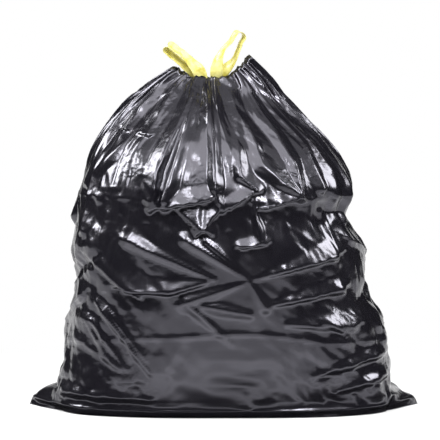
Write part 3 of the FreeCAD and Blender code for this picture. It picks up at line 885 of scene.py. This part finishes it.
def loop_nodes(root_x, lean, length, gap, belly, twist):
    """Centre, thickness direction and width at points along a loop.

    The two legs share a middle line that starts upright and turns to its lean over the first 40 mm.
    They stand apart across it, more and more, and the pair twists about it. A half circle joins them.
    """
    share = np.arange(LOOP_STEPS + 1) / LOOP_STEPS
    straight = length - 0.5 * gap
    turn = 0.5 * math.pi + (lean - 0.5 * math.pi) * smooth_step(share * straight / TAPE_UPRIGHT)
    along = np.stack([np.cos(turn), 0.0 * turn, np.sin(turn)], axis=1)
    step = along * straight / LOOP_STEPS
    line = np.array([root_x, 0.0, MOUTH_FLOOR_HEIGHT]) + np.cumsum(step, axis=0) - step
    flat = np.stack([-np.sin(turn), 0.0 * turn, np.cos(turn)], axis=1)
    angle = (twist * smooth_step(TWIST_PACE * share))[:, None]
    apart = np.array([0.0, 1.0, 0.0]) * np.cos(angle) + flat * np.sin(angle)
    spread = TAPE_ROOT_GAP + (gap - TAPE_ROOT_GAP) * smooth_step(GAP_PACE * share)
    half_gap = 0.5 * (spread + belly * np.sin(math.pi * share) ** 2)[:, None]
    width = TAPE_ROOT_WIDTH + (TAPE_WIDTH - TAPE_ROOT_WIDTH) * smooth_step(WIDTH_PACE * share)
    bow = math.pi * np.arange(1, TIP_STEPS)[:, None] / TIP_STEPS
    tip = apart[-1] * np.cos(bow) + along[-1] * np.sin(bow)
    leg, back_leg = line + apart * half_gap, (line - apart * half_gap)[::-1]
    centre = np.concatenate([leg, line[-1] + 0.5 * gap * tip, back_leg])
    thick = np.concatenate([apart, tip, -apart[::-1]])
    width = np.concatenate([width, np.full(TIP_STEPS - 1, TAPE_WIDTH), width[::-1]])
    return np.concatenate([centre, thick, width[:, None]], axis=1)


print("loops:", list(LOOPS))

# %% [markdown]
# ## The ribbon
# At each point of the path the profile is a flat strip, a little cupped across its width, with edges
# that wander slightly. A flat strip without them would look like a strip of card.

# %% The ribbon
TAPE_ROWS, TAPE_COLUMNS, TAPE_FINE_ROWS = 220, 18, 1200
# How deep the tape is cupped, what share of it is left at its root, where across the tape it is 0,
# how deep its creases are, and how far its edges wander. In millimetres, but for the two shares.
TAPE_CUP, ROOT_CUP_SHARE, CUP_ZERO, TAPE_CREASE, TAPE_WANDER = 2.2, 0.4, 0.4, 0.6, 0.5


def ribbon(nodes, random):
    """The ribbon's surface: a closed strip carried along the nodes, cupped and gently creased.

    The cup's height across the tape is its depth times the square of the share of the half width,
    less a constant.
    """
    places = np.linspace(0.0, len(nodes) - 1.0, TAPE_FINE_ROWS)
    run = through(nodes, even_places(places, through(nodes, places)[:, :3].T, TAPE_ROWS))
    centre, width = run[:, :3], run[:, 6]
    thick = run[:, 3:6] / np.linalg.norm(run[:, 3:6], axis=1, keepdims=True)
    across = np.cross(np.gradient(centre, axis=0), thick)
    across /= np.linalg.norm(across, axis=1, keepdims=True)
    share = np.linspace(-1.0, 1.0, TAPE_COLUMNS)[None, :]
    wander = seeded_noise((TAPE_ROWS, 2), 1.0, 14.0, random).mean(1)[:, None]
    crease = seeded_noise((TAPE_ROWS, TAPE_COLUMNS), 5.0, 5.0, random)
    middle = 1.0 - np.abs(np.linspace(-1.0, 1.0, TAPE_ROWS))[:, None]
    free = ROOT_CUP_SHARE + (1.0 - ROOT_CUP_SHARE) * smooth_step(CUP_PACE * middle)
    cup = free * TAPE_CUP * (share ** 2 - CUP_ZERO) + TAPE_CREASE * crease * middle
    offset = 0.5 * width[:, None] * share + TAPE_WANDER * wander * middle
    sheet = centre[:, None] + across[:, None] * offset[..., None] + thick[:, None] * cup[..., None]
    skin = 0.5 * TAPE_THICKNESS * thick[:, None]
    ring = np.concatenate([sheet + skin, (sheet - skin)[:, ::-1]], axis=1)
    return np.moveaxis(ring, 2, 0)


tape_objects = {}
for name, loop in LOOPS.items():
    surface = ribbon(loop_nodes(*loop), random)
    tape_objects[name] = add_object(name + "_ribbon", grid_mesh(name + "_ribbon", surface))
    print(name, "ribbon from", surface.min(axis=(1, 2)).round(1), "to", surface.max(axis=(1, 2)).round(1))

# %% [markdown]
# ## Colours and nodes
# A material in Blender is a net of nodes, and written out one call at a time it soon fills pages.
# Three helpers keep it short: one turns a colour as a screen shows it into the linear light that
# Blender counts in, one adds a node with its settings and links, and one starts a material.

# %% Colours and nodes


def linear(colour):
    """An sRGB hex colour as linear red, green, blue and alpha."""
    channels = [int(colour[k:k + 2], 16) / 255.0 for k in (1, 3, 5)]
    return [c / 12.92 if c <= 0.04045 else ((c + 0.055) / 1.055) ** 2.4 for c in channels] + [1.0]


def add_node(tree, kind, settings=(), sources=(), **links):
    """Adds one shader node of a kind, sets its properties and sockets, and links its inputs.

    A setting is named after a property or a socket, or numbered as its socket is. The sources are
    linked to the first sockets in order, and the links to those of their names. None links nothing.
    """
    node = tree.nodes.new("ShaderNode" + kind)
    for name, value in dict(settings).items():
        if isinstance(name, int) or name in node.inputs:
            node.inputs[name].default_value = value
        else:
            setattr(node, name, value)
    named = [(name.replace("_", " "), source) for name, source in links.items()]
    for socket, source in [*enumerate(sources), *named]:
        if source is not None:
            tree.links.new(source, node.inputs[socket])
    return node


def new_material(name, settings):
    """A material whose shader has these values, with its node tree and the shader."""
    material = bpy.data.materials.new(name)
    material.use_nodes = True
    shader = material.node_tree.nodes["Principled BSDF"]
    for socket, value in settings.items():
        shader.inputs[socket].default_value = value
    return material, material.node_tree, shader


print("white as linear light:", linear("#ffffff"))

# %% [markdown]
# ## The black film
# The bag is blown polyethylene film coloured with carbon black. It lets no light through and has
# next to no colour of its own, so all that shows is what it reflects. Creases that are too small
# for the mesh are bump, strongest where the film was handled, and they stay flat where it is tight.

# %% The black film
# Each crinkle's size and depth, and its strength where a patch is smooth and where it is handled.
CRINKLES = ((34.0 * MM, 2.2 * MM, 0.03, 0.22), (11.0 * MM, 0.8 * MM, 0.0, 0.4))
# How far the crinkles' lines are bent, and how large those bends are.
CRINKLE_BEND, CRINKLE_BEND_SIZE = 50.0 * MM, 60.0 * MM
# The patches' size, and the noise values between which the crinkles and the haze set in.
PATCH_SIZE, PATCH_START, PATCH_FULL = 55.0 * MM, 0.42, 0.62
HAZE_START, HAZE_FULL, FILM_ROUGHNESS, HAZE_ROUGHNESS = 0.3, 0.7, 0.17, 0.25


def film_material():
    """Black polyethylene film.

    Blown film is smooth and glossy, so facets show crisp reflections. Handling leaves crinkles
    about 11 and 34 mm apart, in patches, which break the reflections up, and a slight haze.
    """
    material, tree, shader = new_material("black_polyethylene_film", {
        "Base Color": linear("#121116"),
        "IOR": 1.51,
        "Specular IOR Level": 1.0,
        "Specular Tint": linear("#efedfb"),
    })
    place = add_node(tree, "TexCoord").outputs["Object"]
    wander = add_node(tree, "TexNoise", {"Scale": 1.0 / CRINKLE_BEND_SIZE, "Detail": 2.0}, Vector=place)
    bent = add_node(tree, "VectorMath", {"operation": "MULTIPLY_ADD", 1: (CRINKLE_BEND,) * 3},
                    [wander.outputs["Color"], None, place])
    patches = add_node(tree, "TexNoise", {"Scale": 1.0 / PATCH_SIZE, "Detail": 2.0}, Vector=place)
    patch = patches.outputs["Fac"]
    handled = add_node(tree, "Attribute", {"attribute_name": "handled"}).outputs["Fac"]
    normal = None
    for size, depth, least, most in CRINKLES:
        crinkles = add_node(tree, "TexVoronoi", {"Scale": 1.0 / size, "distance": "MANHATTAN"},
                            Vector=bent.outputs[0]).outputs["Distance"]
        limits = {"From Min": PATCH_START, "From Max": PATCH_FULL, "To Min": least, "To Max": most}
        spread = add_node(tree, "MapRange", limits, Value=patch).outputs[0]
        share = add_node(tree, "Math", {"operation": "MULTIPLY"}, [spread, handled]).outputs[0]
        bump = add_node(tree, "Bump", {"Distance": depth}, Strength=share, Height=crinkles, Normal=normal)
        normal = bump.outputs[0]
    limits = {
        "From Min": HAZE_START,
        "From Max": HAZE_FULL,
        "To Min": FILM_ROUGHNESS,
        "To Max": HAZE_ROUGHNESS,
    }
    haze = add_node(tree, "MapRange", limits, Value=patch)
    tree.links.new(haze.outputs[0], shader.inputs["Roughness"])
    tree.links.new(normal, shader.inputs["Normal"])
    return material


film_object.data.materials.append(film_material())
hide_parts("bag")
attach(film_object, "root")
print("film:", film_object.data.materials[0].name)

# %% [markdown]
# ## The yellow tape
# The tape is the same plastic, thicker, coloured a pale yellow and rolled to a satin face. The real
# one lets some light through. The material could do so too, but clouds painted in two shades of
# yellow look much the same and render sooner. The pale shade is the tape's yellow with a painted
# glow of light through one layer, and the darker one is painted shade, for where the folded tape
# lies double; the clouds fall at random.

# %% The yellow tape
WAVE_SIZE, WAVE_DEPTH, CLOUD_SIZE = 12.0 * MM, 0.3 * MM, 14.0 * MM
# The tape's pale yellow, partly a painted glow, and its darker painted shade, with the noise value
# from which each one shows.
TAPE_YELLOW_AND_PAINTED_SHADE = ((0.35, "#c9bf55"), (0.6, "#ece593"))


def tape_material():
    """Yellow polyethylene tape.

    Rolled tape about 0.1 mm thick, satin, with faint waves of 12 mm. Clouds of 14 mm go from a pale
    yellow to one nearer to olive: a painted glow and painted shade, as where the light comes through
    one layer or two.
    """
    material, tree, shader = new_material("yellow_polyethylene_tape", {
        "Base Color": linear(TAPE_YELLOW_AND_PAINTED_SHADE[1][1]),
        "Roughness": 0.32,
        "IOR": 1.51,
    })
    place = add_node(tree, "TexCoord").outputs["Object"]
    # The clouds paint light and shade into the tape's colour: painted glow where pale, painted shade where
    # olive.
    cloud = add_node(tree, "TexNoise", {"Scale": 1.0 / CLOUD_SIZE, "Detail": 2.0}, Vector=place)
    shade = add_node(tree, "ValToRGB", Fac=cloud.outputs["Fac"])
    for element, (position, colour) in zip(shade.color_ramp.elements, TAPE_YELLOW_AND_PAINTED_SHADE):
        element.position = position
        element.color = linear(colour)
    tree.links.new(shade.outputs["Color"], shader.inputs["Base Color"])
    waves = add_node(tree, "TexNoise", {"Scale": 1.0 / WAVE_SIZE, "Detail": 1.0}, Vector=place)
    relief = {"Distance": WAVE_DEPTH, "Strength": 0.35}
    bump = add_node(tree, "Bump", relief, Height=waves.outputs["Fac"])
    tree.links.new(bump.outputs[0], shader.inputs["Normal"])
    return material


tape_finish = tape_material()
for name, thing in tape_objects.items():
    thing.data.materials.append(tape_finish)
    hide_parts(name)
    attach(thing, "root")
print("tape:", tape_finish.name)

# %% [markdown]
# ## Tools for the studio
# The studio is a floor, some black panels and the world around them. A renderer may treat a thing one
# way when the picture or a reflection sees it and another way when it lights the bag, which no real
# studio can do. These helpers make the panels and tell the two apart.

# %% Tools for the studio


def panels(name, corners, faces, material):
    """A piece of the studio, made of flat panels."""
    mesh = bpy.data.meshes.new(name)
    mesh.from_pydata(corners, [], faces)
    mesh.materials.append(material)
    thing = add_object(name, mesh)
    return thing


def level_panel(name, half_width, front, back, height, material):
    """A level rectangle of the studio."""
    corners = [(-half_width, front), (half_width, front), (half_width, back), (-half_width, back)]
    return panels(name, [(x, y, height) for x, y in corners], [(0, 1, 2, 3)], material)


def seen_share(tree):
    """1 where the picture sees a thing, straight, mirrored or through another, and 0 for its light."""
    rays = add_node(tree, "LightPath").outputs
    seen = rays["Is Camera Ray"]
    for kind in ("Is Glossy Ray", "Is Transmission Ray"):
        seen = add_node(tree, "Math", {"operation": "MAXIMUM"}, [seen, rays[kind]]).outputs[0]
    return seen


def fade_out(tree, squash, fade, least, most):
    """A value that changes from least to most with the distance from the origin, in a soft S.

    The distance is that of the point with x, y and z multiplied by the squash.
    """
    place = add_node(tree, "TexCoord").outputs["Object"]
    squashed = add_node(tree, "VectorMath", {"operation": "MULTIPLY", 1: squash}, [place])
    far = add_node(tree, "VectorMath", {"operation": "LENGTH"}, [squashed.outputs[0]])
    limits = {"From Min": fade[0], "From Max": fade[1], "To Min": least, "To Max": most}
    limits["interpolation_type"] = "SMOOTHSTEP"
    return add_node(tree, "MapRange", limits, Value=far.outputs["Value"]).outputs[0]


def mix_surface(tree, share, first, second):
    """Makes the surface a mix of two shaders: the first where the share is 0, the second at 1."""
    mix = add_node(tree, "MixShader", (), [share, first.outputs[0], second.outputs[0]])
    tree.links.new(mix.outputs[0], tree.nodes["Material Output"].inputs["Surface"])


print("rays that see a thing: camera, glossy and transmission")

# %% [markdown]
# ## The white ground
# The picture's ground is pure white, with only a soft shadow at the bag's foot. A floor lit to pure
# white would need a second set of lamps, and would light the film too. So the floor is white paint
# near the bag, where it takes the shadow, and fades further out to a glow that the picture and its
# reflections see, but that gives no light. The world is the same white where it is seen, and lights
# the bag at a lower strength.

# %% The white ground
WHITE = (1.0, 1.0, 1.0, 1.0)
# The world's brightness as a light, against 1 where it is seen.
WORLD_LIGHT = 0.6
# The floor's half width, and the distances from the origin at which its fade begins and ends.
FLOOR_HALF, FLOOR_FADE = 6.0, (0.45, 0.95)

world = bpy.data.worlds.new("white_studio")
bpy.context.scene.world = world
world.use_nodes = True
tree = world.node_tree
background = tree.nodes["Background"]
background.inputs["Color"].default_value = WHITE
level = add_node(tree, "MapRange", {"To Min": WORLD_LIGHT, "To Max": 1.0}, Value=seen_share(tree))
tree.links.new(level.outputs[0], background.inputs["Strength"])

white_floor, tree, paint = new_material("white_studio_floor", {
    "Base Color": linear("#f4f4f4"),
    "Roughness": 0.6,
    "Specular IOR Level": 0.2,
})
far_share = fade_out(tree, (1.0, 1.0, 1.0), FLOOR_FADE, 0.0, 1.0)
share = add_node(tree, "Math", {"operation": "MULTIPLY"}, [far_share, seen_share(tree)])
glow = add_node(tree, "Emission", {"Color": WHITE})
mix_surface(tree, share.outputs[0], paint, glow)
level_panel("floor", FLOOR_HALF, -FLOOR_HALF, FLOOR_HALF, 0.0, white_floor)
print("floor, metres:", 2.0 * FLOOR_HALF, "square")

# %% [markdown]
# ## The black flags
# Black film shows its surroundings and little else, and in an all-white room it would turn grey.
# Photographers stand black cards, called flags, where they want it dark. Here they are a ring round
# the set and a ceiling, and only reflections see them. A card on the floor, whose edge fades, is
# painted shadow: only reflections see it too, and in them it darkens the floor near the bag's foot.

# %% The black flags
BLACK_CARD = {"Base Color": linear("#101010"), "Roughness": 1.0}
# Where the painted shadow card's fade begins and ends. It is an ellipse, because y counts for more.
CARD_FADE, CARD_SQUASH = (0.34, 0.60), (1.0, 1.25, 0.0)
# Sizes in metres, but for the ring's half angle in degrees and its number of panels.
CARD_HALF_WIDTH, CARD_HALF_DEPTH, CARD_HEIGHT = 0.62, 0.5, 0.001
RING_RADIUS, RING_LOW, FLAG_TOP, CEILING_BACK = 3.4, 0.28, 3.6, 3.2
RING_HALF_ANGLE, RING_PANELS = 160.0, 24

# The card on the floor is painted shadow: black seen only in reflections, fading out away from the bag.
painted_shadow_card, tree, card = new_material("painted_floor_shadow_card", BLACK_CARD)
clear = add_node(tree, "BsdfTransparent")
mix_surface(tree, fade_out(tree, CARD_SQUASH, CARD_FADE, 1.0, 0.0), clear, card)

black = new_material("black_flag", BLACK_CARD)[0]
turn = np.radians(np.linspace(-RING_HALF_ANGLE, RING_HALF_ANGLE, RING_PANELS + 1))
ring = np.stack([RING_RADIUS * np.sin(turn), -RING_RADIUS * np.cos(turn)], axis=1)
ring_corners = [(x, y, z) for z in (RING_LOW, FLAG_TOP) for x, y in ring]
above = RING_PANELS + 1
ring_faces = [(k, k + 1, k + 1 + above, k + above) for k in range(RING_PANELS)]
flags = (
    panels("front_flag", ring_corners, ring_faces, black),
    level_panel("floor_painted_shadow", CARD_HALF_WIDTH, -CARD_HALF_DEPTH, CARD_HALF_DEPTH, CARD_HEIGHT, painted_shadow_card),
    level_panel("ceiling_flag", RING_RADIUS, -RING_RADIUS, CEILING_BACK, FLAG_TOP, black),
)
for flag in flags:
    flag.visible_camera = False
    flag.visible_diffuse = False
    flag.visible_shadow = False
    flag.visible_transmission = False
print("flags:", [flag.name for flag in flags])

# %% [markdown]
# ## The lamps
# What a soft box gives this film is its own mirror image. Large boxes to the left and right draw
# the bright edges, one above lights the shoulder, and two smaller ones in front of it put the
# brightest facets among the pleats. A wide weak one fills the rest.

# %% The lamps
# Name, place, aim, width, height and power of each lamp, in metres and watts.
LAMPS = (
    ("left_box", (-1.7, 0.42, 1.7), (0.0, 0.0, 0.4), 0.7, 0.9, 31.0),
    ("right_box", (1.75, 0.0, 1.75), (0.0, 0.0, 0.4), 0.8, 0.9, 25.0),
    ("top_box", (-0.3, -1.0, 2.4), (0.0, 0.0, 0.4), 2.4, 1.3, 25.5),
    ("top_core", (-1.1, -1.1, 2.1), (0.0, 0.0, 0.4), 0.7, 0.5, 16.0),
    ("top_strip", (0.7, -1.6, 2.2), (0.0, 0.0, 0.4), 0.25, 1.0, 24.0),
    ("ceiling_fill", (0.0, -1.0, 3.3), (0.0, -0.6, 0.0), 5.0, 3.5, 30.0),
)


def area_lamp(name, place, aim, width, height, power):
    """A soft box: a rectangle of light that faces a point."""
    lamp = bpy.data.lights.new(name, "AREA")
    lamp.shape = "RECTANGLE"
    lamp.size = width
    lamp.size_y = height
    lamp.energy = power
    thing = add_object(name, lamp)
    thing.location = place
    thing.rotation_euler = (Vector(aim) - Vector(place)).to_track_quat("-Z", "Y").to_euler()


for lamp in LAMPS:
    area_lamp(*lamp)
bpy.context.scene.view_settings.view_transform = "Standard"
print("lamps:", len(LAMPS), "watts in all:", sum(lamp[-1] for lamp in LAMPS))
